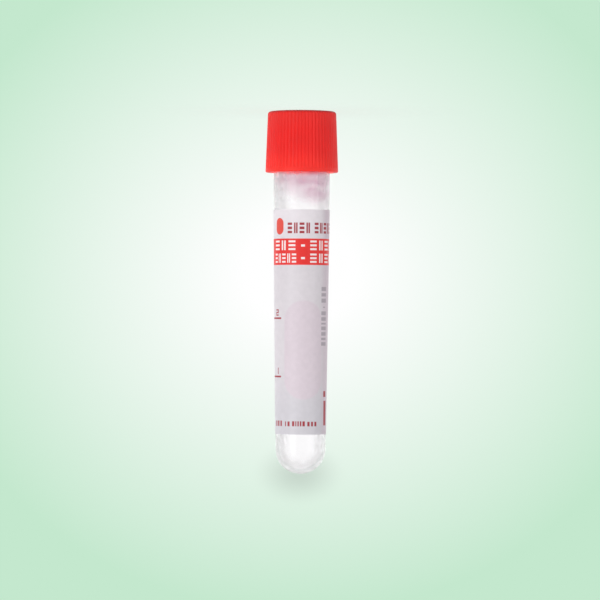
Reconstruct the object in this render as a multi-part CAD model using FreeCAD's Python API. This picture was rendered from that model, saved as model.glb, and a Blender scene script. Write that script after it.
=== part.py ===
import FreeCAD, Part

import math
import os

# A round-ended plastic tube for a blood sample, with a push-in cap and a wrap-round label.
# Sizes are in millimetres. Every piece is drawn with the cap up, as a half section of radii from
# the tube's axis and heights from the outside of its round end. On its side the tube would roll,
# so the finished pieces are turned over together, to stand on the cap's flat top.

# Tube: one thin-walled moulding, tapered towards its round end
TUBE_LENGTH = 75.0
RIM_RADIUS = 6.1
END_RADIUS = 5.26
TUBE_WALL = 0.85
END_WALL = 1.0
RIM_ROUNDING = 0.2

# Cap: one moulding, with a flat top, a fluted skirt outside the tube and a hollow plug inside it
CAP_TOP_WALL = 1.65
CAP_TOP_ROUNDING = 0.65
SKIRT_DEPTH = 11.25
SKIRT_WALL_AT_RIM = 1.06
SKIRT_WALL_AT_MOUTH = 1.24
SKIRT_CLEARANCE = 0.12
MOUTH_GAP = 0.49
MOUTH_ROUNDING = 0.25
MOUTH_LEAD_IN = 0.3
GATE_RADIUS = 1.6
GATE_DEPTH = 0.2

# Flutes: V-shaped grooves down the skirt, which run out at the top and stop above a plain lip
FLUTE_COUNT = 60
FLUTE_DEPTH = 0.16
FLUTE_ANGLE = 110.0
LIP_HEIGHT = 0.7

# Plug: a hollow stopper with rings that seal on the tube's bore
PLUG_LENGTH = 9.0
PLUG_WALL = 0.9
PLUG_CLEARANCE = 0.16
PLUG_TIP_ROUNDING = 0.4
RING_COUNT = 2
RING_WIDTH = 0.9
RING_CLEARANCE = 0.04

# Label: a rectangle of film round the tube, with a clear strip left open at the back. The strip
# is narrowest at the label's foot, where the tube is thinner.
LABEL_FOOT = 8.4
LABEL_HEIGHT = 47.4
LABEL_THICKNESS = 0.09
STRIP_WIDTH_AT_FOOT = 3.6

# Facets: a rounding is turned as bands about this wide, and a slanting wall in stretches of this
# length at most, because short straight walls need the fewest facets
BAND_WIDTH = 0.35
LONGEST_STRETCH = 14.0

ORIGIN = FreeCAD.Vector(0, 0, 0)
TUBE_AXIS = FreeCAD.Vector(0, 0, 1)
TURNOVER_AXIS = FreeCAD.Vector(0, 1, 0)

# The outer wall touches the round end where both lean by the same angle
TAPER = math.asin((RIM_RADIUS - END_RADIUS) / (TUBE_LENGTH - END_RADIUS))
MOUTH_HEIGHT = TUBE_LENGTH - SKIRT_DEPTH
CAP_HEIGHT = TUBE_LENGTH + CAP_TOP_WALL


def outer_radius(height):
    """Radius of the tube's outer wall at a height above the round end."""
    return END_RADIUS / math.cos(TAPER) + (height - END_RADIUS) * math.tan(TAPER)


def bore_radius(height):
    """Radius of the tube's bore at a height above the round end."""
    return outer_radius(height) - TUBE_WALL / math.cos(TAPER)


SKIRT_BORE_AT_RIM = outer_radius(TUBE_LENGTH) + SKIRT_CLEARANCE
SKIRT_BORE_AT_MOUTH = outer_radius(MOUTH_HEIGHT) + MOUTH_GAP
SKIRT_RADIUS_AT_RIM = SKIRT_BORE_AT_RIM + SKIRT_WALL_AT_RIM
LIP_RADIUS = SKIRT_BORE_AT_MOUTH + SKIRT_WALL_AT_MOUTH
SKIRT_LEAN = (LIP_RADIUS - SKIRT_RADIUS_AT_RIM) / SKIRT_DEPTH


def skirt_radius(height):
    """Radius of the skirt's outer face, before its flutes, at a height."""
    return LIP_RADIUS - (height - MOUTH_HEIGHT) * SKIRT_LEAN


def section_point(radius, height):
    """A point of a half section, in the plane beside the tube's axis."""
    return FreeCAD.Vector(radius, 0, height)


def rounded_points(corners):
    """Section points through corners of (radius, height, rounding), each rounding in bands."""
    points = [section_point(radius, height) for radius, height, _ in corners]
    outline = []
    for index, (_, _, rounding) in enumerate(corners):
        corner = points[index]
        if rounding == 0:
            outline.append(corner)
            continue
        back = (points[index - 1] - corner).normalize()
        ahead = (points[(index + 1) % len(points)] - corner).normalize()
        half_angle = back.getAngle(ahead) / 2
        centre = corner + (back + ahead).normalize() * (rounding / math.sin(half_angle))
        spoke = corner + back * (rounding / math.tan(half_angle)) - centre
        sweep = math.pi - 2 * half_angle
        bands = max(1, round(rounding * sweep / BAND_WIDTH))
        for band in range(bands + 1):
            turn = FreeCAD.Rotation(ahead.cross(back), math.degrees(sweep * band / bands))
            outline.append(centre + turn.multVec(spoke))
    return outline


def wall_edges(start, finish):
    """Edges of a straight wall: one line, or where the wall slants a straight spline per stretch."""
    run = finish - start
    if min(abs(run.x), abs(run.z)) < Part.Precision.confusion():
        return [Part.LineSegment(start, finish).toShape()]
    stretches = math.ceil(run.Length / LONGEST_STRETCH)
    stops = [start + run * (stop / stretches) for stop in range(stretches + 1)]
    return [Part.LineSegment(here, there).toBSpline().toShape()
            for here, there in zip(stops, stops[1:])]


def outline_edges(points):
    """Edges from each section point to the next."""
    return [edge for here, there in zip(points, points[1:]) for edge in wall_edges(here, there)]


def turned(edges):
    """Solid turned round the tube's axis from the closed edges of a half section."""
    outline = Part.Wire(Part.__sortEdges__(edges))
    return Part.Face(outline).revolve(ORIGIN, TUBE_AXIS, 360)


def end_arc(radius, centre_height):
    """Arc of a round end, from the axis to where it meets the tapered wall."""
    centre = section_point(0, centre_height)
    halfway = (math.pi / 2 - TAPER) / 2
    pole = section_point(0, centre_height - radius)
    middle = centre + section_point(math.sin(halfway), -math.cos(halfway)) * radius
    meeting = centre + section_point(math.cos(TAPER), -math.sin(TAPER)) * radius
    return Part.Arc(pole, middle, meeting).toShape(), pole, meeting


def make_tube():
    """Tapered wall with a round end and a rounded rim, open at the top."""
    outer_end, outer_pole, outer_meeting = end_arc(END_RADIUS, END_RADIUS)
    inner_radius = END_RADIUS - TUBE_WALL
    inner_end, inner_pole, inner_meeting = end_arc(inner_radius, END_WALL + inner_radius)
    wall = rounded_points([
        (outer_meeting.x, outer_meeting.z, 0),
        (outer_radius(TUBE_LENGTH), TUBE_LENGTH, RIM_ROUNDING),
        (bore_radius(TUBE_LENGTH), TUBE_LENGTH, RIM_ROUNDING),
        (inner_meeting.x, inner_meeting.z, 0),
    ])
    core = Part.LineSegment(inner_pole, outer_pole).toShape()
    return turned([outer_end, inner_end, core] + outline_edges(wall))


def plug_corners():
    """Corners of the plug's outside, from the cap's underside down to its tip and up its hollow."""
    tip = TUBE_LENGTH - PLUG_LENGTH
    plug_radius = bore_radius(tip) - PLUG_CLEARANCE
    corners = [(plug_radius, TUBE_LENGTH, 0)]
    for ring in range(RING_COUNT):
        middle = TUBE_LENGTH - PLUG_LENGTH * (ring + 1) / (RING_COUNT + 1)
        ring_radius = bore_radius(middle - RING_WIDTH / 2) - RING_CLEARANCE
        flank = ring_radius - plug_radius
        corners += [
            (plug_radius, middle + RING_WIDTH / 2 + flank, 0),
            (ring_radius, middle + RING_WIDTH / 2 - flank, 0),
            (ring_radius, middle - RING_WIDTH / 2 + flank, 0),
            (plug_radius, middle - RING_WIDTH / 2 - flank, 0),
        ]
    corners += [
        (plug_radius, tip, PLUG_TIP_ROUNDING),
        (plug_radius - PLUG_WALL, tip, PLUG_TIP_ROUNDING),
        (plug_radius - PLUG_WALL, TUBE_LENGTH, 0),
    ]
    return corners


def make_flutes():
    """Leaning three-sided bars, each cutting one groove from above the lip to past the top."""
    foot = MOUTH_HEIGHT + LIP_HEIGHT
    head = CAP_HEIGHT + CAP_TOP_WALL
    bottom = section_point(skirt_radius(foot) - FLUTE_DEPTH, foot)
    side = FreeCAD.Vector(0, 2 * FLUTE_DEPTH * math.tan(math.radians(FLUTE_ANGLE / 2)), 0)
    outside = bottom + section_point(2 * FLUTE_DEPTH, 0)
    end = Part.Face(Part.makePolygon([bottom, outside + side, outside - side, bottom]))
    bar = end.extrude(section_point(skirt_radius(head) - skirt_radius(foot), head - foot))
    pitch = 360 / FLUTE_COUNT
    return [bar.rotated(ORIGIN, TUBE_AXIS, pitch * index) for index in range(FLUTE_COUNT)]


def make_cap():
    """Flat top, fluted skirt with a plain lip, and hollow plug."""
    gate_foot = CAP_HEIGHT - GATE_DEPTH
    outline = rounded_points([
        (0, gate_foot, 0),
        (GATE_RADIUS - GATE_DEPTH, gate_foot, 0),
        (GATE_RADIUS, CAP_HEIGHT, 0),
        (skirt_radius(CAP_HEIGHT), CAP_HEIGHT, CAP_TOP_ROUNDING),
        (LIP_RADIUS, MOUTH_HEIGHT, MOUTH_ROUNDING),
        (SKIRT_BORE_AT_MOUTH, MOUTH_HEIGHT, MOUTH_LEAD_IN),
        (SKIRT_BORE_AT_RIM, TUBE_LENGTH, 0),
    ] + plug_corners() + [(0, TUBE_LENGTH, 0)])
    return turned(outline_edges(outline + outline[:1])).cut(make_flutes())


def make_label():
    """Film round the tapered wall, as wide at its head as at its foot."""
    head = LABEL_FOOT + LABEL_HEIGHT
    skin = LABEL_THICKNESS / math.cos(TAPER)
    outline = [
        section_point(outer_radius(LABEL_FOOT), LABEL_FOOT),
        section_point(outer_radius(LABEL_FOOT) + skin, LABEL_FOOT),
        section_point(outer_radius(head) + skin, head),
        section_point(outer_radius(head), head),
    ]
    sleeve = turned(outline_edges(outline + outline[:1]))
    label_width = 2 * math.pi * outer_radius(LABEL_FOOT) - STRIP_WIDTH_AT_FOOT
    ends = []
    for height in (LABEL_FOOT, head):
        half_gap = math.pi - label_width / 2 / outer_radius(height)
        reach = 2 * RIM_RADIUS
        left = FreeCAD.Vector(-reach * math.tan(half_gap), reach, height)
        right = FreeCAD.Vector(reach * math.tan(half_gap), reach, height)
        apex = FreeCAD.Vector(0, 0, height)
        ends.append(Part.makePolygon([apex, right, left, apex]))
    strip = Part.makeLoft(ends, True, True)
    return sleeve.cut(strip)


def stood_on_cap(piece):
    """Piece turned over, so that the cap's flat top stands on the floor."""
    turned_over = piece.rotated(ORIGIN, TURNOVER_AXIS, 180)
    return turned_over.translated(FreeCAD.Vector(0, 0, CAP_HEIGHT))


def main():
    """Make every piece, stand it on the cap and write one file for each."""
    os.makedirs("parts", exist_ok=True)
    upright = {"tube": make_tube(), "cap": make_cap(), "label": make_label()}
    for name, piece in upright.items():
        stood_on_cap(piece).exportStep(f"parts/{name}.step")
        print(f"{name}: {piece.Volume:.2f} mm3, {len(piece.Solids)} solid, valid {piece.isValid()}")


main()
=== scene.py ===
"""A capped blood collection tube: the looks of its three pieces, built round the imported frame.

Lengths are in metres. The tube stands on its cap, so a height above the round end, which is how
the tube is drawn and labelled, runs down from the top of the frame. The printed side faces -Y.
"""

from dataclasses import dataclass, field
from enum import Enum
import logging
import math
from typing import Any, Sequence

import bpy
from mathutils import Matrix, Vector
import numpy as np

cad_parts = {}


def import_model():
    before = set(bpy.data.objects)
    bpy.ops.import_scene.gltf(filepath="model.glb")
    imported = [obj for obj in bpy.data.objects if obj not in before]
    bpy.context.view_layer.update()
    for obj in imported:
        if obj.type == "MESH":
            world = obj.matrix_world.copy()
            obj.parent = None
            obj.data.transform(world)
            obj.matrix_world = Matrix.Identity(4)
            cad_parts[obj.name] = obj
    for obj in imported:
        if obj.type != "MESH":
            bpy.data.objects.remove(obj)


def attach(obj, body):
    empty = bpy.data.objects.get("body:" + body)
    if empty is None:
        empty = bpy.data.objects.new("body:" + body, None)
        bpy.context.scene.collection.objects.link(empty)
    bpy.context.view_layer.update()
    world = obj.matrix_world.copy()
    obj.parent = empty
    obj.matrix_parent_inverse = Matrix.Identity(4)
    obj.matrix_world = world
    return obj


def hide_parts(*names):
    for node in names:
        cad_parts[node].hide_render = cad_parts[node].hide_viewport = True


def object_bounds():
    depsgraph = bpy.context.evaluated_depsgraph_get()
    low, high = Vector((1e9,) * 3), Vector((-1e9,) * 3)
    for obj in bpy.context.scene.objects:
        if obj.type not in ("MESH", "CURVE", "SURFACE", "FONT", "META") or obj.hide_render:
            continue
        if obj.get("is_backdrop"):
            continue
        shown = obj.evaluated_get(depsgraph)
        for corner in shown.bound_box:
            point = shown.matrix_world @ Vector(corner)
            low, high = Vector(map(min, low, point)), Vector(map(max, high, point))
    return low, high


LOG = logging.getLogger("blood_tube")
MM = 0.001
SHARP_ANGLE = 40.0

Colour = tuple[float, float, float]
Span = tuple[float, float]
BLACK = (0.0, 0.0, 0.0)
WHITE = (1.0, 1.0, 1.0)


class Step(Enum):
    """The ways in which a step climbs."""

    SMOOTH = "SMOOTHSTEP"
    EVEN = "LINEAR"


class Body(Enum):
    """The bodies of the frame that a piece can ride on."""

    CLOSURE = "closure"
    LABELLED_TUBE = "labelled_tube"


# --------------------------------------------------------------------------- shader expressions


class Expr:
    """A socket of a node tree, on which numbers and other sockets can be reckoned."""

    def __init__(self, nodes: "NodeTree", socket: Any) -> None:
        """Keep the tree in which Math nodes are made, and the output that this stands for."""
        self.nodes = nodes
        self.socket = socket

    def _math(self, operation: str, *others: Any) -> "Expr":
        """Add a Math node on this value and the others."""
        values = (self, *others)
        return self.nodes.add("ShaderNodeMath", {"operation": operation}, dict(enumerate(values)))

    def __add__(self, other: Any) -> "Expr":
        """This value plus another."""
        return self._math("ADD", other)

    __radd__ = __add__

    def __mul__(self, other: Any) -> "Expr":
        """This value times another."""
        return self._math("MULTIPLY", other)

    __rmul__ = __mul__

    def __sub__(self, other: Any) -> "Expr":
        """This value minus another."""
        return self._math("SUBTRACT", other)

    def __rsub__(self, other: Any) -> "Expr":
        """Another value minus this one."""
        return self._math("MULTIPLY", -1.0) + other

    def __truediv__(self, other: Any) -> "Expr":
        """This value divided by another."""
        return self._math("DIVIDE", other)

    def abs(self) -> "Expr":
        """The value without its sign."""
        return self._math("ABSOLUTE")

    def sqrt(self) -> "Expr":
        """The square root."""
        return self._math("SQRT")

    def fraction(self) -> "Expr":
        """What is left of the value above its whole number."""
        return self._math("FRACT")

    def maximum(self, other: Any) -> "Expr":
        """The larger of two values."""
        return self._math("MAXIMUM", other)

    def fade(self, start: float, end: float, shape: Step = Step.SMOOTH) -> "Expr":
        """A step from 0 where the value is start to 1 where it is end.

        Args:
            start: Value at which the step begins.
            end: Value at which it ends, which may be lower than start.
            shape: Whether it eases in and out or climbs evenly.

        Returns:
            The step, from 0 to 1.
        """
        settings = {"interpolation_type": shape.value, "clamp": True}
        low, high = min(start, end), max(start, end)
        step = self.nodes.add("ShaderNodeMapRange", settings,
                              {"Value": self, "From Min": low, "From Max": high})
        return step if start < end else 1.0 - step


class NodeTree:
    """A node tree, and the one way in which nodes are added to it."""

    def __init__(self, tree: bpy.types.NodeTree) -> None:
        """Take the tree of a material or a world, and empty it."""
        self.tree = tree
        self.tree.nodes.clear()

    def add(self, kind: str, settings: dict[str, Any] | None = None,
            inputs: dict[Any, Any] | None = None, output: Any = 0) -> Expr | None:
        """Add one node.

        Args:
            kind: The node's type.
            settings: Properties that are set first, such as a Math node's operation.
            inputs: Values or expressions for its inputs, by name or by number.
            output: Name or number of the output that is wanted.

        Returns:
            The wanted output, or None from a node that ends the tree.
        """
        node = self.tree.nodes.new(kind)
        for name, value in (settings or {}).items():
            setattr(node, name, value)
        for name, value in (inputs or {}).items():
            if isinstance(value, Expr):
                self.tree.links.new(value.socket, node.inputs[name])
            else:
                node.inputs[name].default_value = value
        return Expr(self, node.outputs[output]) if len(node.outputs) else None

    def mix(self, factor: Any, first: Any, second: Any) -> Expr:
        """Mix two colours.

        Args:
            factor: Share of the second colour.
            first: A colour of three numbers, or an expression.
            second: The other colour.

        Returns:
            The mixed colour.
        """
        def rgba(value: Any) -> Any:
            """Give a plain colour its alpha."""
            return value if isinstance(value, Expr) else (*value, 1.0)
        return self.add("ShaderNodeMix", {"data_type": "RGBA"},
                        {0: factor, 6: rgba(first), 7: rgba(second)}, output=2)

    def place(self) -> tuple[Expr, Expr, Expr]:
        """X, Y and Z of the point on the object, in metres."""
        return self.split(self.point())

    def point(self) -> Expr:
        """The point on the object, as a vector."""
        return self.add("ShaderNodeTexCoord", output="Object")

    def split(self, vector: Expr) -> tuple[Expr, Expr, Expr]:
        """The three parts of a vector."""
        parts = self.add("ShaderNodeSeparateXYZ", inputs={0: vector})
        return tuple(Expr(self, parts.socket.node.outputs[index]) for index in range(3))

    def noise(self, vector: Expr, scale: float, detail: float = 2.0) -> Expr:
        """Soft noise from 0 to 1, with scale cells to the metre and detail finer layers."""
        return self.add("ShaderNodeTexNoise", {}, {"Vector": vector, "Scale": scale,
                                                   "Detail": detail})

    def bump(self, height: Expr, depth: float) -> Expr:
        """A normal tilted by a height from 0 to 1, which stands for a depth in metres."""
        return self.add("ShaderNodeBump", {}, {"Height": height, "Distance": depth,
                                               "Strength": 1.0}, output="Normal")

    def plastic(self, inputs: dict[str, Any]) -> None:
        """End a material's tree with a Principled shader that has these inputs."""
        shader = self.add("ShaderNodeBsdfPrincipled", {}, inputs)
        self.add("ShaderNodeOutputMaterial", {}, {"Surface": shader})


def linear(red: int, green: int, blue: int) -> Colour:
    """A screen colour, from 0 to 255, as the linear colour that a shader takes."""
    shares = (np.array((red, green, blue)) / 255.0).tolist()
    return tuple(c / 12.92 if c <= 0.04045 else ((c + 0.055) / 1.055) ** 2.4 for c in shares)


def new_material(name: str) -> tuple[bpy.types.Material, NodeTree]:
    """An empty material that uses nodes.

    Args:
        name: Its name.

    Returns:
        The material and its node tree.
    """
    material = bpy.data.materials.new(name)
    material.use_nodes = True
    return material, NodeTree(material.node_tree)


# ------------------------------------------------------------------------------------- finishes


@dataclass(frozen=True)
class RedPolyethylene:
    """Satin red moulding: fine grain, faint mottle, and a painted glow at the skirt's mouth.

    The skirt is painted lighter red near its mouth, and its bore there emits a painted glow. The
    end that the cap stands on is paler, and the rounding of its edge has painted shade. Heights run
    up from that end.
    """

    colour: Colour = linear(239, 28, 24)
    # painted glow: lighter red near the skirt's mouth
    glow: Colour = linear(252, 46, 36)
    painted_glow_height: float = 12.5 * MM
    painted_glow_reach: float = 5.0 * MM
    # painted glow: emission colour of the skirt's bore near the mouth
    inside: Colour = linear(255, 100, 96)
    inside_radius: float = 6.75 * MM
    inside_edge: float = 0.1 * MM
    painted_glow_strength: float = 0.8
    mottle_scale: float = 260.0
    mottle_range: Span = (0.35, 0.75)
    mottle_darkening: float = 0.2
    mottle_share: float = 0.25
    # paler red towards the end that the cap stands on
    paler_end: Colour = linear(226, 70, 64)
    paler_end_heights: Span = (5.0 * MM, 0.3 * MM)
    paler_end_share: float = 0.22
    # painted shade on the rounding of the end's edge
    painted_edge_shade: Colour = linear(132, 22, 28)
    painted_edge_shade_heights: Span = (0.65 * MM, 0.05 * MM)
    painted_edge_shade_share: float = 0.5
    face_radius: float = 6.3 * MM
    face_edge: float = 0.5 * MM
    grain_scale: float = 2600.0
    grain_depth: float = 0.006 * MM
    roughness: float = 0.46
    grain_roughness: float = 0.08
    refraction: float = 1.51
    shine: float = 0.34
    scatter_share: float = 0.15
    scatter_reach: tuple[float, float, float] = (1.0, 0.12, 0.08)
    scatter_depth: float = 0.6 * MM

    def material(self) -> bpy.types.Material:
        """Make the material.

        Returns:
            The material.
        """
        material, nodes = new_material("red_polyethylene")
        x, y, z = nodes.place()
        # painted glow near the skirt's mouth: this mask makes the red lighter there and the bore
        # emit light
        painted_glow_mask = z.fade(self.painted_glow_height - self.painted_glow_reach, self.painted_glow_height)
        radius = (x * x + y * y).sqrt()
        within = radius.fade(self.inside_radius, self.inside_radius - self.inside_edge)
        # painted glow: emission in the bore near the mouth
        painted_glow_emission = nodes.mix(within * painted_glow_mask, BLACK, self.inside)
        base = nodes.mix(painted_glow_mask, self.colour, self.glow)
        mottle = nodes.noise(nodes.point(), self.mottle_scale).fade(*self.mottle_range)
        dark = tuple(c * (1.0 - self.mottle_darkening) for c in self.colour)
        base = nodes.mix(mottle * self.mottle_share, base, dark)
        base = nodes.mix(z.fade(*self.paler_end_heights) * self.paler_end_share, base, self.paler_end)
        face = radius.fade(self.face_radius + self.face_edge, self.face_radius)
        # painted shade: darker red on the end's edge rounding, not on its flat face
        painted_edge_shade = z.fade(*self.painted_edge_shade_heights) * (1.0 - face) * self.painted_edge_shade_share
        base = nodes.mix(painted_edge_shade, base, self.painted_edge_shade)
        grain = nodes.noise(nodes.point(), self.grain_scale)
        nodes.plastic({
            "Base Color": base,
            "Roughness": self.roughness + grain * self.grain_roughness,
            "IOR": self.refraction,
            "Specular IOR Level": self.shine,
            "Subsurface Weight": self.scatter_share,
            "Subsurface Radius": self.scatter_reach,
            "Subsurface Scale": self.scatter_depth,
            "Emission Color": painted_glow_emission,
            "Emission Strength": self.painted_glow_strength,
            "Normal": nodes.bump(grain, self.grain_depth),
        })
        return material


@dataclass(frozen=True)
class MilkyPolypropylene:
    """Clear plastic with a milky cast, and a painted pink reflection of the cap's red just outside
    it.

    Only the glassy share of the light meets it as clear plastic. The rest goes straight through,
    which makes it look soft. The painted reflection lies in soft patches, and is stronger and
    reaches higher on the side towards -X. The bore near the rim is a little frosted, and the wall
    there a little uneven. Heights run up from the face that the cap stands on.
    """

    colour: Colour = linear(255, 254, 255)
    cap_height: float = 12.9 * MM
    side_radius: float = 6.0 * MM
    # painted reflection of the cap's red on the tube near the cap
    painted_red_reflection: Colour = linear(210, 166, 188)
    painted_reflection_share: float = 0.62
    painted_reflection_side_share: float = 0.22
    painted_reflection_reach: float = 7.0 * MM
    painted_reflection_full: float = 2.4 * MM
    painted_reflection_side_reach: float = 2.0 * MM
    painted_reflection_depths: Span = (4.5 * MM, 0.5 * MM)
    patch_scale: float = 330.0
    patch_stretch: tuple[float, float, float] = (0.7, 0.7, 1.6)
    patch_detail: float = 1.0
    patch_range: Span = (0.30, 0.62)
    between_patches: float = 0.4
    cloud_scale: float = 420.0
    roughness: float = 0.18
    cloud_roughness: float = 0.03
    frost_roughness: float = 0.08
    frost_radii: Span = (5.75 * MM, 5.55 * MM)
    frost_heights: Span = (26.0 * MM, 18.0 * MM)
    uneven_heights: Span = (25.0 * MM, 17.0 * MM)
    uneven_depth: float = 0.02 * MM
    refraction: float = 1.49
    shine: float = 0.5
    see_through: float = 0.985
    glassy_share: float = 0.62

    def patches(self, nodes: NodeTree) -> Expr:
        """Soft patches from 0 to 1, which are longer round the tube than along it.

        Args:
            nodes: The material's tree.

        Returns:
            The patches.
        """
        stretched = nodes.add("ShaderNodeMapping", {}, {"Vector": nodes.point(),
                                                        "Scale": self.patch_stretch})
        return nodes.noise(stretched, self.patch_scale, self.patch_detail).fade(*self.patch_range)

    def material(self) -> bpy.types.Material:
        """Make the material.

        Returns:
            The material.
        """
        material, nodes = new_material("milky_polypropylene")
        x, y, z = nodes.place()
        side = x * (-1.0 / self.side_radius)
        cloud = nodes.noise(nodes.point(), self.cloud_scale)
        patch = self.patches(nodes)
        # painted reflection of the cap's red: strongest just outside the cap, stronger towards -X,
        # in patches
        nearness = (z - side * self.painted_reflection_side_reach).fade(self.cap_height + self.painted_reflection_reach,
                                                           self.cap_height + self.painted_reflection_full)
        deep, shallow = self.painted_reflection_depths
        nearness = nearness * z.fade(self.cap_height - deep, self.cap_height - shallow)
        strength = self.painted_reflection_share + side * self.painted_reflection_side_share
        share = nearness * strength * (self.between_patches + patch)
        frost = (x * x + y * y).sqrt().fade(*self.frost_radii) * z.fade(*self.frost_heights)
        nodes.plastic({
            "Base Color": nodes.mix(share, self.colour, self.painted_red_reflection),
            "Roughness": (self.roughness + cloud * self.cloud_roughness
                          + frost * self.frost_roughness),
            "IOR": self.refraction,
            "Transmission Weight": self.see_through,
            "Alpha": self.glassy_share,
            "Specular IOR Level": self.shine,
            "Normal": nodes.bump(patch * z.fade(*self.uneven_heights), self.uneven_depth),
        })
        return material


@dataclass(frozen=True)
class Bar:
    """A rectangle of print: left, foot, width and height in millimetres on the flat label."""

    left: float
    foot: float
    width: float
    height: float

    def mask(self, u: Expr, v: Expr, soft: float) -> Expr:
        """1 inside the rectangle and 0 outside, with a soft edge.

        Args:
            u: Place across the label.
            v: Place up the label.
            soft: Width of the edge.

        Returns:
            The mask.
        """
        across = (u - (self.left + self.width / 2)).abs() - self.width / 2
        along = (v - (self.foot + self.height / 2)).abs() - self.height / 2
        return across.maximum(along).fade(soft / 2, -soft / 2)


@dataclass(frozen=True)
class Capsule:
    """A pill shape of print: its middle, and its half sizes, in millimetres."""

    across: float
    up: float
    half_width: float
    half_height: float

    def mask(self, u: Expr, v: Expr, soft: float) -> Expr:
        """1 inside the pill and 0 outside: the distance from the core line, less its radius.

        Args:
            u: Place across the label.
            v: Place up the label.
            soft: Width of the edge.

        Returns:
            The mask.
        """
        radius = min(self.half_width, self.half_height)
        du = ((u - self.across).abs() - (self.half_width - radius)).maximum(0.0)
        dv = ((v - self.up).abs() - (self.half_height - radius)).maximum(0.0)
        distance = (du * du + dv * dv).sqrt()
        return distance.fade(radius + soft / 2, radius - soft / 2)


@dataclass(frozen=True)
class MarkRow:
    """A row of equal cells in which three dashes and two upright strokes take turns.

    Left, foot, width and height are in millimetres on the flat label. The marks' thickness is a
    share of the usual one. Half a dash's length, and a stroke's place and half thickness, are
    shares of a cell. Half a dash's thickness is a share of the step from dash to dash.
    """

    left: float
    foot: float
    width: float
    height: float
    cells: int
    thickness: float = 1.0
    half_length: float = 0.39
    stroke_place: float = 0.17
    half_stroke: float = 0.10
    half_dash: float = 0.25
    dashes: int = 3

    def mask(self, u: Expr, v: Expr, soft: float) -> Expr:
        """1 on the marks and 0 between them, with a soft edge.

        Places are counted in cells along the row, and in steps from dash to dash up it. A mark
        is where the distance from its middle line is under half its thickness: the dashes lie at
        the foot, middle and head of an even cell, and the strokes close together in an odd one's
        middle.

        Args:
            u: Place across the label.
            v: Place up the label.
            soft: Width of the edge.

        Returns:
            The mask.
        """
        edge = soft / 2 * self.cells / self.width
        cell = (u - self.left) * (self.cells / self.width)
        aside = (cell.fraction() - 0.5).abs()
        odd = ((cell - cell.fraction()) * 0.5).fraction() * 2.0
        half_stroke = self.half_stroke * self.thickness
        stroke = (aside - self.stroke_place).abs()
        strokes = stroke.fade(half_stroke + edge, half_stroke - edge)
        steps_per_mm = (self.dashes - 2 * self.half_dash) / self.height
        rise = (v - self.foot) * steps_per_mm + self.half_dash
        half_dash = self.half_dash * self.thickness
        dash_edge = soft / 2 * steps_per_mm
        dash = (rise.fraction() - 0.5).abs().fade(half_dash + dash_edge, half_dash - dash_edge)
        dashes = dash * aside.fade(self.half_length + edge, self.half_length - edge)
        marks = dashes + (strokes - dashes) * odd
        return marks * Bar(self.left, self.foot, self.width, self.height).mask(u, v, soft)


def word(left: float, foot: float, height: float, letters: Sequence[float],
         gap: float) -> list[Bar]:
    """A row of blocks from left on, one to each width in letters, which stand on foot."""
    starts = left + np.concatenate(([0.0], np.cumsum(np.array(letters) + gap)[:-1]))
    return [Bar(float(start), foot, width, height) for start, width in zip(starts, letters)]


def word_down(head: float, left: float, width: float, letters: Sequence[float],
              gap: float) -> list[Bar]:
    """A row of blocks from head downwards, one to each height in letters: a word on its side."""
    return [Bar(left, head - block.left - block.width, width, block.width)
            for block in word(0.0, 0.0, width, letters, gap)]


def digit(value: int, left: float, foot: float, width: float, height: float,
          stroke: float) -> list[Bar]:
    """A plain numeral made of straight strokes, as on a simple scale.

    Args:
        value: The numeral, 1 or 2.
        left: Its left edge.
        foot: Its lower edge.
        width: Its width.
        height: Its height.
        stroke: Thickness of a stroke.

    Returns:
        The strokes.
    """
    half = height / 2
    right = left + width - stroke
    strokes = {
        "foot": Bar(left, foot, width, stroke),
        "middle": Bar(left, foot + half - stroke / 2, width, stroke),
        "head": Bar(left, foot + height - stroke, width, stroke),
        "low_left": Bar(left, foot, stroke, half),
        "low_right": Bar(right, foot, stroke, half),
        "high_right": Bar(right, foot + half, stroke, half),
    }
    used = {1: ("low_right", "high_right"), 2: ("head", "high_right", "middle", "low_left", "foot")}
    return [strokes[name] for name in used[value]]


@dataclass(frozen=True)
class LabelPrint:
    """The print: plain shapes of each ink, in millimetres from the middle of the label's foot."""

    panels: tuple[Capsule, ...]
    red: tuple[Any, ...]
    orange: tuple[Any, ...]
    white: tuple[Any, ...]
    dark: tuple[Any, ...]
    grey: tuple[Any, ...]


def scale_marks() -> list[Bar]:
    """The scale: a long mark at each whole number, with its numeral above it.

    Returns:
        The bars.
    """
    left, width, stroke = -9.4, 4.75, 0.36
    digit_left, rise = -6.5, 0.7
    bars = []
    for value, foot in ((2, 24.3), (1, 12.0)):
        bars.append(Bar(left, foot, width, stroke))
        bars += digit(value, digit_left, foot + rise, width=1.0, height=1.35, stroke=0.26)
    return bars


def foot_words() -> list[Bar]:
    """The small words along the foot: groups of three, two, five and three blocks.

    Returns:
        The blocks.
    """
    foot = 1.75
    # left edge, height, widths of the blocks and gap
    groups = ((-6.55, 1.15, (0.55, 0.5, 0.45), 0.35),
              (-3.45, 1.0, (0.25, 0.5), 0.35),
              (-1.8, 1.05, (0.48, 0.22, 0.28, 0.32, 0.5), 0.22),
              (1.4, 0.95, (0.5, 0.45, 0.5), 0.33))
    return [bar for left, height, letters, gap in groups
            for bar in word(left, foot, height, letters, gap)]


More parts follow.
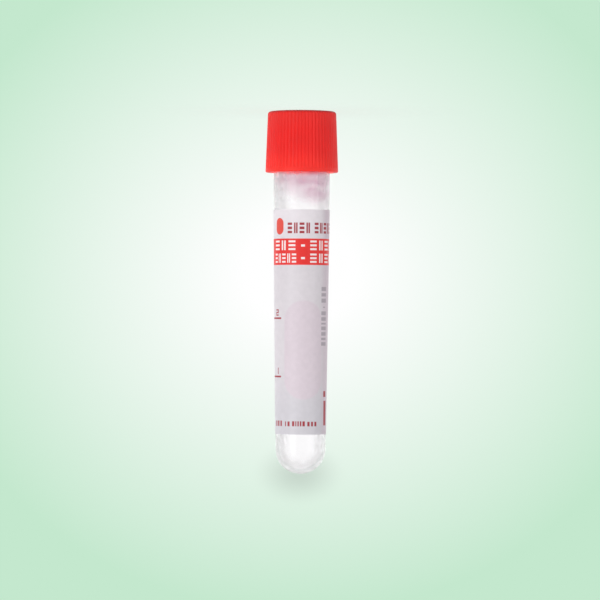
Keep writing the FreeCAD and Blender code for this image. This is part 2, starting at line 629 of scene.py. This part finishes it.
def label_print() -> LabelPrint:
    """Lay out the print.

    Returns:
        The shapes of each ink.
    """
    words_in_band = (MarkRow(-6.95, 38.8, 5.9, 2.05, 3),
                     Bar(-0.07, 39.55, 0.8, 0.45),
                     MarkRow(1.65, 38.8, 9.5, 2.05, 5),
                     MarkRow(-6.95, 36.15, 6.0, 1.95, 5),
                     Bar(-0.07, 36.9, 0.8, 0.45),
                     MarkRow(1.65, 36.15, 9.5, 1.95, 5))
    words_above = (MarkRow(-3.15, 42.35, 5.2, 2.25, 4, 1.25),
                   MarkRow(2.7, 42.35, 7.4, 2.25, 6, 1.25))
    bar_and_spot = (Bar(5.75, 1.9, 1.15, 5.2), Bar(5.65, 7.9, 1.05, 1.25))
    date_row = (word_down(31.1, 4.75, 1.75, (0.85, 0.7, 0.85), 0.45)
                + word_down(26.95, 5.3, 0.7, (0.25,), 0.0)
                + word_down(25.95, 4.75, 1.75, (0.8, 0.75, 0.35, 0.75, 0.75, 0.5, 0.75), 0.43))
    return LabelPrint(
        panels=(Capsule(0.6, 17.8, 4.3, 10.4),),
        red=(Bar(-30.0, 35.7, 60.0, 5.55),),
        orange=(Capsule(-5.2, 43.85, 1.15, 1.75),),
        white=words_in_band,
        dark=(*words_above, *scale_marks(), *bar_and_spot, *foot_words()),
        grey=tuple(date_row),
    )


@dataclass(frozen=True)
class PrintedFilm:
    """Pale grey-lavender label film under a thin gloss, printed from rows of plain shapes.

    The glued face is given a painted glow, as emission at half the film's colour. Places
    on the sheet are in millimetres.
    """

    film: Colour = linear(219, 213, 218)
    # painted highlight: the film is paler towards the label's head
    head: Colour = linear(232, 226, 231)
    painted_highlight_heights: Span = (38.0, 46.0)
    foot: Colour = linear(208, 205, 211)
    foot_heights: Span = (16.0, 2.0)
    panel: Colour = linear(218, 204, 213)
    panel_edge: float = 0.6
    panel_share: float = 0.8
    # darker towards -X: partly painted shade, partly a further pale panel
    side: Colour = linear(208, 195, 204)
    side_starts: Span = (4.2, 6.4)
    side_ends: Span = (12.0, 9.5)
    red: Colour = linear(229, 44, 40)
    orange: Colour = linear(226, 78, 66)
    white: Colour = linear(246, 232, 232)
    dark: Colour = linear(160, 48, 58)
    grey: Colour = linear(150, 140, 150)
    grey_share: float = 0.7
    ink_edge: float = 0.10
    fibre_scale: float = 900.0
    fibre_detail: float = 4.0
    fibre_range: Span = (0.3, 0.7)
    fibre_share: float = 0.04
    fibre_depth: float = 0.004 * MM
    roughness: float = 0.38
    fibre_roughness: float = 0.06
    refraction: float = 1.5
    shine: float = 0.4
    # painted glow: strength of the glued face's emission
    painted_glow_emission: float = 0.5
    glued_heights: Span = (-40.0, -60.0)

    def blank(self, u: Expr, v: Expr, fibre: Expr, panel: Expr) -> Expr:
        """The sheet's colour before it is inked: a painted highlight at its head, darker at its
        foot, and darker at its side, partly painted shade and partly a further pale panel.

        Args:
            u: Place across the label.
            v: Place up the label.
            fibre: The film's fine noise.
            panel: Mask of the pale panels.

        Returns:
            The colour.
        """
        nodes = u.nodes
        # painted highlight towards the label's head
        film = nodes.mix(v.fade(*self.painted_highlight_heights), self.film, self.head)
        film = nodes.mix(v.fade(*self.foot_heights), film, self.foot)
        film = nodes.mix(panel * self.panel_share, film, self.panel)
        # partly painted shade, partly a further pale panel, towards -X
        film = nodes.mix(u.fade(*self.side_starts) * u.fade(*self.side_ends), film, self.side)
        return nodes.mix(fibre.fade(*self.fibre_range) * self.fibre_share, film, BLACK)

    def material(self, sheet: LabelPrint) -> bpy.types.Material:
        """Make the material.

        Args:
            sheet: The print's shapes.

        Returns:
            The material.
        """
        material, nodes = new_material("printed_film")
        place = nodes.add("ShaderNodeAttribute", {"attribute_name": Label.PLACE}, output="Vector")
        u, v, _ = nodes.split(place)

        def ink(shapes: Sequence[Any], soft: float = self.ink_edge) -> Expr:
            """The joint mask of several shapes.

            Args:
                shapes: The shapes.
                soft: Width of their edges.

            Returns:
                The mask.
            """
            masks = [shape.mask(u, v, soft) for shape in shapes]
            joint = masks[0]
            for mask in masks[1:]:
                joint = joint.maximum(mask)
            return joint

        fibre = nodes.noise(nodes.point(), self.fibre_scale, self.fibre_detail)
        base = self.blank(u, v, fibre, ink(sheet.panels, self.panel_edge))
        base = nodes.mix(ink(sheet.grey) * self.grey_share, base, self.grey)
        for shapes, colour in ((sheet.red, self.red), (sheet.orange, self.orange),
                               (sheet.white, self.white), (sheet.dark, self.dark)):
            base = nodes.mix(ink(shapes), base, colour)
        nodes.plastic({
            "Base Color": base,
            "Roughness": self.roughness + fibre * self.fibre_roughness,
            "IOR": self.refraction,
            "Specular IOR Level": self.shine,
            # painted glow on the glued face
            "Emission Color": nodes.mix(v.fade(*self.glued_heights), BLACK, self.film),
            "Emission Strength": self.painted_glow_emission,
            "Normal": nodes.bump(fibre, self.fibre_depth),
        })
        return material


# --------------------------------------------------------------------------------------- meshes


def new_piece(name: str, points: np.ndarray, faces: list[Any],
              material: bpy.types.Material) -> bpy.types.Object:
    """A smooth mesh object at the origin.

    Args:
        name: Its name.
        points: Its points, in rows of X, Y and Z.
        faces: Its faces, as lists of point numbers.
        material: Its finish.

    Returns:
        The object.
    """
    mesh = bpy.data.meshes.new(name)
    mesh.from_pydata(points.tolist(), [], faces)
    mesh.update()
    mesh.shade_smooth()
    mesh.materials.append(material)
    piece = bpy.data.objects.new(name, mesh)
    bpy.context.scene.collection.objects.link(piece)
    return piece


def mark_sharp(piece: bpy.types.Object) -> None:
    """Mark the edges at which two faces meet more sharply than SHARP_ANGLE degrees."""
    piece.data.set_sharp_from_angle(angle=math.radians(SHARP_ANGLE))


def angles_round(count: int) -> np.ndarray:
    """Angles of points spaced evenly round a circle: 2 pi k / count, with k from 0."""
    return 2 * np.pi * np.arange(count) / count


def round_mesh(radii: np.ndarray, heights: np.ndarray) -> tuple[np.ndarray, list[Any]]:
    """A closed solid of revolution whose first and last rings shrink to poles.

    With each point's angle from +X as in angles_round, X = radius cos and Y = radius sin.

    Args:
        radii: Radius of each ring, one row per ring, with one value per angle in each row.
        heights: Height of each ring. The first and the last are those of the poles.

    Returns:
        The points, and the faces, which point outwards where the rings run up the outside.
    """
    rings, around = radii.shape
    angles = angles_round(around)
    inner = slice(1, rings - 1)
    x = radii[inner] * np.cos(angles)
    y = radii[inner] * np.sin(angles)
    z = np.repeat(heights[inner, None], around, axis=1)
    body = np.stack((x, y, z), axis=-1).reshape(-1, 3)
    poles = np.array([[0.0, 0.0, heights[0]], [0.0, 0.0, heights[-1]]])
    points = np.concatenate((body, poles))
    first, last = len(body), len(body) + 1
    here = np.arange(around)
    there = np.roll(here, -1)
    rows = (np.arange(rings - 3) * around)[:, None]
    quads = np.stack((rows + here, rows + there, rows + around + there, rows + around + here),
                     axis=-1).reshape(-1, 4)
    top = (rings - 3) * around
    start = np.stack((np.full(around, first), there, here), axis=-1)
    finish = np.stack((np.full(around, last), top + here, top + there), axis=-1)
    return points, quads.tolist() + start.tolist() + finish.tolist()


def shares_of_way(steps: int, ease: float) -> np.ndarray:
    """Shares of a way from 0 to 1: k / steps to the power ease, or the same from the far end."""
    # above 1 the first pieces are the shortest, and below -1 the last ones are
    shares = np.arange(steps + 1) / steps
    return shares ** ease if ease > 0 else 1 - (1 - shares) ** -ease


@dataclass
class Outline:
    """A half section, drawn point by point, in metres of radius and height above the round end."""

    points: list[tuple[float, float]] = field(default_factory=list)

    def to(self, radius: float, height: float) -> "Outline":
        """Add a corner."""
        self.points.append((radius, height))
        return self

    def arc(self, centre: tuple[float, float], radius: float, start: float, finish: float,
            steps: int, ease: float = 1.0) -> "Outline":
        """Add an arc: centre + radius (cos t, sin t), with t from start to finish.

        Args:
            centre: Radius and height of its centre.
            radius: Its radius.
            start: Its first angle, in degrees from outwards towards up.
            finish: Its last angle.
            steps: How many pieces it has.
            ease: The power of their spacing, as in shares_of_way.

        Returns:
            The outline.
        """
        turn = np.radians(start + (finish - start) * shares_of_way(steps, ease))
        self.points += list(zip(centre[0] + radius * np.cos(turn),
                                centre[1] + radius * np.sin(turn)))
        return self

    def run(self, radius: float, height: float, steps: int, ease: float = 1.0) -> "Outline":
        """Add points up to a corner: the last point + shares of the way to the corner.

        Args:
            radius: The corner's radius.
            height: Its height.
            steps: How many pieces the way has.
            ease: The power of their spacing, as in shares_of_way.

        Returns:
            The outline.
        """
        r0, h0 = self.points[-1]
        shares = shares_of_way(steps, ease)[1:]
        self.points += list(zip(r0 + (radius - r0) * shares, h0 + (height - h0) * shares))
        return self

    def arrays(self) -> tuple[np.ndarray, np.ndarray]:
        """The points' radii and heights."""
        both = np.array(self.points)
        return both[:, 0], both[:, 1]


def framed(piece: bpy.types.Object, body: Body, node: str) -> None:
    """Set a finished piece on its body in place of its CAD node, and report it.

    Args:
        piece: The piece.
        body: The body that it rides on.
        node: The CAD node that it stands for.
    """
    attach(piece, body.value)
    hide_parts(node)
    LOG.info("%s: %d points, %d faces", node, len(piece.data.vertices), len(piece.data.polygons))


@dataclass
class TubeMoulding:
    """The tapered tube with its round end, as a thin closed shell.

    Heights run up from the round end's outside, and the frame has that end at the top.
    """

    length: float = 75.0 * MM
    rim_radius: float = 6.1 * MM
    end_radius: float = 5.26 * MM
    wall: float = 0.85 * MM
    end_wall: float = 1.0 * MM
    rim_rounding: float = 0.2 * MM
    rim_start: float = 10.0
    around: int = 320
    end_rows: int = 56
    bore_end_rows: int = 52
    end_ease: float = 1.6
    wall_rows: int = 60
    wall_ease: float = 2.4
    rim_rows: int = 5
    top: float = 76.65 * MM

    @property
    def taper(self) -> float:
        """Lean of the wall: its sine is the radii's difference over the height between them."""
        return math.asin((self.rim_radius - self.end_radius) / (self.length - self.end_radius))

    def outer_radius(self, height: Any) -> Any:
        """Radius of the outer wall at a height."""
        return (self.end_radius / math.cos(self.taper)
                + (height - self.end_radius) * math.tan(self.taper))

    def bore_radius(self, height: float) -> float:
        """Radius of the bore at a height."""
        return self.outer_radius(height) - self.wall / math.cos(self.taper)

    def outline(self) -> Outline:
        """The half section: up the outside from the pole, over the rim, and down the inside.

        The rows of points lie closest where the wall meets the round end.

        Returns:
            The outline.
        """
        lean = math.degrees(self.taper)
        inner = self.end_radius - self.wall
        edge = self.rim_rounding
        out_r = self.outer_radius(self.length) - edge
        in_r = self.bore_radius(self.length) + edge
        rim = self.length - edge
        section = Outline().arc((0.0, self.end_radius), self.end_radius, -90.0, -lean,
                                self.end_rows, -self.end_ease)
        section.run(out_r + edge, rim, self.wall_rows, self.wall_ease)
        section.arc((out_r, rim), edge, self.rim_start, 90.0, self.rim_rows)
        section.arc((in_r, rim), edge, 90.0, 180.0 - self.rim_start, self.rim_rows)
        section.to(in_r - edge, rim)
        foot = self.end_wall + inner
        section.run(inner * math.cos(self.taper), foot - inner * math.sin(self.taper),
                    self.wall_rows, -self.wall_ease)
        return section.arc((0.0, foot), inner, -lean, -90.0, self.bore_end_rows, self.end_ease)

    def build(self, finish: MilkyPolypropylene) -> None:
        """Make the moulding.

        Args:
            finish: Its plastic.
        """
        radii, heights = self.outline().arrays()
        # the frame's heights run the other way, so the rings are taken from the bore's pole on
        radii, heights = radii[::-1], self.top - heights[::-1]
        points, faces = round_mesh(np.repeat(radii[:, None], self.around, axis=1), heights)
        piece = new_piece("tube_moulding", points, faces, finish.material())
        framed(piece, Body.LABELLED_TUBE, "tube")


@dataclass
class FlutedCap:
    """The push-in cap: flat top, fluted skirt with a plain lip, and hollow plug with two rings."""

    tube: TubeMoulding
    top_wall: float = 1.65 * MM
    top_rounding: float = 0.65 * MM
    skirt_depth: float = 11.25 * MM
    wall_at_rim: float = 1.06 * MM
    wall_at_mouth: float = 1.24 * MM
    clearance: float = 0.12 * MM
    mouth_gap: float = 0.49 * MM
    mouth_rounding: float = 0.25 * MM
    lead_in: float = 0.3 * MM
    gate_radius: float = 1.6 * MM
    gate_depth: float = 0.2 * MM
    gate_ring: float = 0.7
    flutes: int = 60
    flute_depth: float = 0.16 * MM
    flute_angle: float = 110.0
    flute_swell: float = 0.35
    flute_run_in: float = 0.5
    lip_height: float = 0.7 * MM
    plug_length: float = 9.0 * MM
    plug_wall: float = 0.9 * MM
    plug_clearance: float = 0.16 * MM
    plug_tip: float = 0.4 * MM
    rings: int = 2
    ring_width: float = 0.9 * MM
    ring_clearance: float = 0.04 * MM
    per_flute: int = 14
    top_start: float = 80.0
    mouth_start: float = -15.0
    near_lip: float = 3.0
    bend_rows: int = 4
    top_rows: int = 8
    skirt_rows: int = 8
    near_lip_rows: int = 14

    def __post_init__(self) -> None:
        """Work out the sizes that the others follow."""
        rim = self.tube.length
        self.mouth = rim - self.skirt_depth
        self.head = rim + self.top_wall
        self.bore_at_rim = self.tube.outer_radius(rim) + self.clearance
        self.bore_at_mouth = self.tube.outer_radius(self.mouth) + self.mouth_gap
        self.lip_radius = self.bore_at_mouth + self.wall_at_mouth
        self.lean = (self.lip_radius - self.bore_at_rim - self.wall_at_rim) / self.skirt_depth

    def skirt_radius(self, height: Any) -> Any:
        """Radius of the skirt's outer face at a height, before its flutes."""
        return self.lip_radius - (height - self.mouth) * self.lean

    def outside(self) -> Outline:
        """The outside: from the gate over the top's rounding and down the skirt to the lip.

        Returns:
            The outline.
        """
        gate_foot = self.head - self.gate_depth
        bend = self.top_rounding
        edge = self.mouth_rounding
        lean = math.degrees(math.atan(self.lean))
        shoulder = self.skirt_radius(self.head - bend) - bend
        section = Outline([(0.0, gate_foot)])
        section.to(self.gate_ring * self.gate_radius, gate_foot)
        section.to(self.gate_radius - self.gate_depth, gate_foot).to(self.gate_radius, self.head)
        section.run(shoulder, self.head, self.bend_rows)
        section.arc((shoulder, self.head - bend), bend, self.top_start, lean, self.top_rows)
        near_lip = self.mouth + self.near_lip * self.lip_height
        section.run(self.skirt_radius(near_lip), near_lip, self.skirt_rows)
        section.run(self.lip_radius, self.mouth + edge, self.near_lip_rows)
        centre = (self.lip_radius - edge, self.mouth + edge)
        return section.arc(centre, edge, self.mouth_start, -90.0, self.bend_rows)

    def inside(self) -> Outline:
        """The inside: up the skirt's bore, down the plug, round its tip and up its hollow.

        Returns:
            The outline.
        """
        rim = self.tube.length
        tip = rim - self.plug_length
        plug = self.tube.bore_radius(tip) - self.plug_clearance
        half = self.ring_width / 2
        section = Outline([(self.bore_at_mouth + self.lead_in, self.mouth)])
        section.to(self.bore_at_mouth, self.mouth + self.lead_in)
        section.to(self.bore_at_rim, rim).to(plug, rim)
        for ring in range(self.rings):
            middle = rim - self.plug_length * (ring + 1) / (self.rings + 1)
            ring_radius = self.tube.bore_radius(middle - half) - self.ring_clearance
            flank = ring_radius - plug
            section.to(plug, middle + half + flank).to(ring_radius, middle + half - flank)
            section.to(ring_radius, middle - half + flank).to(plug, middle - half - flank)
        bend = self.plug_tip
        section.arc((plug - bend, tip + bend), bend, 0.0, -90.0, self.bend_rows)
        hollow = plug - self.plug_wall
        section.arc((hollow + bend, tip + bend), bend, -90.0, -180.0, self.bend_rows)
        return section.to(hollow, rim).to(0.0, rim)

    def groove(self, angles: np.ndarray, heights: np.ndarray) -> np.ndarray:
        """Depth of the flutes: a soft V across each, which fades out above the lip.

        With a as 1 less the distance from the flute's middle over its half width, the depth is
        the full one times a (1 + swell - swell a).

        Args:
            angles: Angle of each column, in radians.
            heights: Height of each ring.

        Returns:
            The depth at each ring and column.
        """
        half_width = self.flute_depth * math.tan(math.radians(self.flute_angle / 2))
        pitch = 2 * np.pi / self.flutes
        offset = np.abs((angles + pitch / 2) % pitch - pitch / 2) * self.lip_radius
        across = np.clip(1.0 - offset / half_width, 0.0, 1.0)
        across = across * (1.0 + self.flute_swell - self.flute_swell * across)
        foot = self.mouth + self.lip_height
        run_in = np.clip((heights - foot) / (self.flute_run_in * self.lip_height), 0.0, 1.0)
        return self.flute_depth * np.outer(run_in, across)

    def build(self, finish: RedPolyethylene) -> None:
        """Make the cap.

        Args:
            finish: Its plastic.
        """
        outer_r, outer_h = self.outside().arrays()
        inner_r, inner_h = self.inside().arrays()
        around = self.flutes * self.per_flute
        outer = np.repeat(outer_r[:, None], around, axis=1)
        # a flute's bottom keeps its lean, so it runs out where the top's rounding dips below it
        bottom = self.skirt_radius(outer_h)[:, None] - self.groove(angles_round(around), outer_h)
        outer = np.where(outer_h[:, None] > self.mouth + self.lip_height,
                         np.minimum(outer, bottom), outer)
        inner = np.repeat(inner_r[:, None], around, axis=1)
        radii = np.concatenate((outer, inner))
        heights = self.tube.top - np.concatenate((outer_h, inner_h))
        points, faces = round_mesh(radii, heights)
        piece = new_piece("fluted_cap", points, faces, finish.material())
        mark_sharp(piece)
        framed(piece, Body.CLOSURE, "cap")


@dataclass
class Label:
    """The wrap-round label: a flat rectangle rolled on to the tapered wall, a hair off it."""

    PLACE = "label_place"
    OFF_THE_SHEET = -100.0

    tube: TubeMoulding
    foot: float = 8.4 * MM
    height: float = 47.4 * MM
    thickness: float = 0.09 * MM
    strip_at_foot: float = 3.6 * MM
    air: float = 0.015 * MM
    columns: int = 240
    rows: int = 48

    def build(self, finish: PrintedFilm, sheet: LabelPrint) -> None:
        """Make the label.

        Across the label, u is arc length from the printed middle, which faces -Y and grows
        towards -X; up the label, v is the height above its foot. The angle is u over the wall's
        radius at that height. The glued face keeps a place far off the sheet, so it stays bare.

        Args:
            finish: Its film and inks.
            sheet: The print.
        """
        width = 2 * math.pi * self.tube.outer_radius(self.foot) - self.strip_at_foot
        u, v = np.meshgrid(np.linspace(-width / 2, width / 2, self.columns),
                           np.linspace(0.0, self.height, self.rows))
        height = self.foot + v
        wall = self.tube.outer_radius(height)
        angle = u / wall
        skins = []
        for gap in (self.air, self.thickness):
            radius = wall + gap
            skins.append(np.stack((-radius * np.sin(angle), -radius * np.cos(angle),
                                   self.tube.top - height), axis=-1).reshape(-1, 3))
        points = np.concatenate(skins)
        count = self.rows * self.columns
        numbers = np.arange(count).reshape(self.rows, self.columns)
        low, right = numbers[:-1, :-1], numbers[:-1, 1:]
        up, across = numbers[1:, :-1], numbers[1:, 1:]
        outer = np.stack((low, right, across, up), axis=-1).reshape(-1, 4) + count
        inner = np.stack((low, up, across, right), axis=-1).reshape(-1, 4)
        border = np.concatenate((numbers[0, :], numbers[1:, -1], numbers[-1, -2::-1],
                                 numbers[-2:0:-1, 0]))
        after = np.roll(border, -1)
        edge = np.stack((border, after, after + count, border + count), axis=-1)
        faces = np.concatenate((outer, inner, edge)).tolist()
        piece = new_piece("wrap_label", points, faces, finish.material(sheet))
        place = np.stack((u, v, np.zeros_like(u)), axis=-1).reshape(-1, 3) / MM
        bare = np.full_like(place, self.OFF_THE_SHEET)
        attribute = piece.data.attributes.new(self.PLACE, "FLOAT_VECTOR", "POINT")
        attribute.data.foreach_set("vector", np.concatenate((bare, place)).ravel())
        mark_sharp(piece)
        framed(piece, Body.LABELLED_TUBE, "label")


# --------------------------------------------------------------------------------------- studio


@dataclass
class Studio:
    """Pale floor, white room, soft lamps and the camera.

    The camera is turned over, because the tube is looked at with its cap up, and it stands on
    its cap. Places in the room are parts of a ray's direction, which is 1 long, and the camera
    looks along +Y.
    """

    top: float
    floor_radius: float = 0.6
    floor_sides: int = 96
    floor_colour: Colour = (0.9, 0.9, 0.9)
    veil_radii: Span = (0.038, 0.009)
    veil_share: float = 0.08
    open_radius: float = 6.4 * MM
    open_edge: float = 0.2 * MM
    distance: float = 0.8466
    eye_height: float = 29.35 * MM
    aim_height: float = 36.76 * MM
    aside: float = 0.25 * MM
    lens: float = 240.0
    roll: float = 180.28
    clip: Span = (0.01, 20.0)
    rim: Colour = linear(196, 232, 206)
    walls: Colour = linear(232, 233, 235)
    dusk: Colour = linear(249, 249, 251)
    dusk_range: Span = (0.16, 0.46)
    glow_range: Span = (0.0125, 0.085)
    glow_stretch: float = 0.9
    glow_drop: float = 0.01575
    shade_rise: float = 0.0345
    shade_reach: Span = (0.0125, 0.0088)
    shade_ahead: Span = (0.0, 0.1)
    shade_depth: float = 0.24
    view_end: float = 0.9925
    view_edge: float = 0.008
    low_light: float = 0.34
    front_light: float = 0.5
    front_start: float = 0.4
    front_reach: float = 1.3

    def rays(self, nodes: NodeTree) -> tuple[Expr, Expr]:
        """Which rays look at the room.

        Args:
            nodes: The tree that asks.

        Returns:
            1 for the camera's own rays, and 1 for those and what gloss or clear plastic shows.
        """
        paths = nodes.add("ShaderNodeLightPath", output="Is Camera Ray")
        outputs = paths.socket.node.outputs
        glossy = Expr(nodes, outputs["Is Glossy Ray"])
        clear = Expr(nodes, outputs["Is Transmission Ray"])
        return paths, paths.maximum(glossy).maximum(clear)

    def backdrop(self, x: Expr, y: Expr, z: Expr) -> Expr:
        """What the camera sees behind the tube: white, fading outwards to a very pale green.

        A soft oval shade lies behind the round end. Away from the first view it is plain wall.

        Args:
            x: The ray's part along X.
            y: Its part along Y.
            z: Its part along Z.

        Returns:
            The colour.
        """
        nodes = x.nodes
        across, along = x * self.glow_stretch, z + self.glow_drop
        away = (across * across + along * along).sqrt()
        glow = nodes.mix(away.fade(*self.glow_range, Step.EVEN), WHITE, self.rim)
        wide, high = x / self.shade_reach[0], (z - self.shade_rise) / self.shade_reach[1]
        shade = (wide * wide + high * high).sqrt().fade(1.0, 0.0) * y.fade(*self.shade_ahead)
        shaded = nodes.mix(shade * self.shade_depth, glow, BLACK)
        return nodes.mix((self.view_end - y).fade(0.0, self.view_edge), shaded, self.walls)

    def light_room(self) -> None:
        """Light the room: plain white light on the object, and the backdrop for the camera.

        Clear plastic and gloss show white before and behind the tube, and a little grey at its
        sides. The light is stronger from the side of the camera.
        """
        world = bpy.data.worlds.new("room")
        bpy.context.scene.world = world
        world.use_nodes = True
        nodes = NodeTree(world.node_tree)
        x, y, z = nodes.split(nodes.add("ShaderNodeTexCoord", output="Generated"))
        direct, seen = self.rays(nodes)
        dusk = nodes.mix((1.0 - y.abs()).fade(*self.dusk_range), WHITE, self.dusk)
        shown = nodes.mix(direct, dusk, self.backdrop(x, y, z))
        light = (self.front_start - y).fade(0.0, self.front_reach) * self.front_light
        light = self.low_light + light
        shader = nodes.add("ShaderNodeBackground", {}, {
            "Color": nodes.mix(seen, WHITE, shown),
            "Strength": light + seen * (1.0 - light),
        })
        nodes.add("ShaderNodeOutputWorld", {}, {"Surface": shader})

    def lay_floor(self) -> None:
        """A round pale floor, solid to light, which fades into the room away from the tube.

        It is open under the middle of the cap, so that the cap's face isn't black from below.
        """
        angles = angles_round(self.floor_sides)
        rim = np.stack((np.cos(angles), np.sin(angles), np.zeros(self.floor_sides)), axis=-1)
        material, nodes = new_material("pale_floor")
        x, y, _ = nodes.place()
        reach = (x * x + y * y).sqrt()
        _, seen = self.rays(nodes)
        veil = reach.fade(*self.veil_radii) * self.veil_share
        under_cap = reach.fade(self.open_radius, self.open_radius - self.open_edge)
        solid = (1.0 - seen + seen * veil) * (1.0 - under_cap)
        diffuse = nodes.add("ShaderNodeBsdfDiffuse", {}, {"Color": (*self.floor_colour, 1.0)})
        clear = nodes.add("ShaderNodeBsdfTransparent")
        shader = nodes.add("ShaderNodeMixShader", {}, {0: solid, 1: clear, 2: diffuse})
        nodes.add("ShaderNodeOutputMaterial", {}, {"Surface": shader})
        floor = new_piece("floor", rim * self.floor_radius, [list(range(self.floor_sides))],
                          material)
        floor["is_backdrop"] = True

    def hang_lamp(self, name: str, place: tuple[float, float, float], size: tuple[float, float],
                  power: float, glints: bool = False) -> None:
        """Hang one rectangular lamp that shines at the middle of the part's height.

        Args:
            name: Its name.
            place: Where it hangs.
            size: Its width and height.
            power: Its power in watts.
            glints: Whether gloss mirrors it.
        """
        lamp = bpy.data.lights.new(name, "AREA")
        lamp.shape = "RECTANGLE"
        lamp.size, lamp.size_y = size
        lamp.energy = power
        holder = bpy.data.objects.new(name, lamp)
        aim = Vector((0.0, 0.0, self.top / 2)) - Vector(place)
        holder.matrix_world = (Matrix.Translation(place)
                               @ aim.to_track_quat("-Z", "Y").to_matrix().to_4x4())
        holder.visible_transmission = False
        holder.visible_glossy = glints
        bpy.context.scene.collection.objects.link(holder)

    def hang_lamps(self) -> None:
        """A large soft key from the viewer's left, weak fills round it, and two from behind."""
        self.hang_lamp("key", (0.34, -0.42, 0.16), (0.30, 0.45), 1.05, True)
        self.hang_lamp("fill", (-0.40, -0.30, 0.12), (0.25, 0.35), 0.26, True)
        self.hang_lamp("side", (0.45, -0.10, 0.06), (0.12, 0.30), 0.20)
        self.hang_lamp("back_left", (0.36, 0.34, 0.22), (0.25, 0.25), 0.8)
        self.hang_lamp("back_right", (-0.36, 0.34, 0.22), (0.25, 0.25), 0.55)

    def set_camera(self) -> None:
        """A long lens about level with the tube, turned over and aimed near its middle."""
        camera = bpy.data.cameras.new("camera")
        camera.lens = self.lens
        camera.clip_start, camera.clip_end = self.clip
        holder = bpy.data.objects.new("camera", camera)
        eye = Vector((self.aside, -self.distance, self.top - self.eye_height))
        aim = Vector((self.aside, 0.0, self.top - self.aim_height))
        facing = (aim - eye).to_track_quat("-Z", "Y").to_matrix().to_4x4()
        holder.matrix_world = (Matrix.Translation(eye) @ facing
                               @ Matrix.Rotation(math.radians(self.roll), 4, "Z"))
        scene = bpy.context.scene
        scene.collection.objects.link(holder)
        scene.camera = holder
        scene.view_settings.view_transform = "Standard"


def corners(bounds: Any) -> list[list[float]]:
    """The two corners of a box as plain lists."""
    return [[float(value) for value in corner] for corner in bounds]


def main() -> None:
    """Build the three pieces and the studio round the frame."""
    logging.basicConfig(level=logging.INFO, format="%(name)s: %(message)s")
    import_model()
    frame_box = corners(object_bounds())
    top = frame_box[1][2]

    tube = TubeMoulding(top=top)
    tube.build(MilkyPolypropylene())
    FlutedCap(tube).build(RedPolyethylene())
    Label(tube).build(PrintedFilm(), label_print())

    studio = Studio(top)
    studio.light_room()
    studio.lay_floor()
    studio.hang_lamps()
    studio.set_camera()


if __name__ == "__main__":
    main()
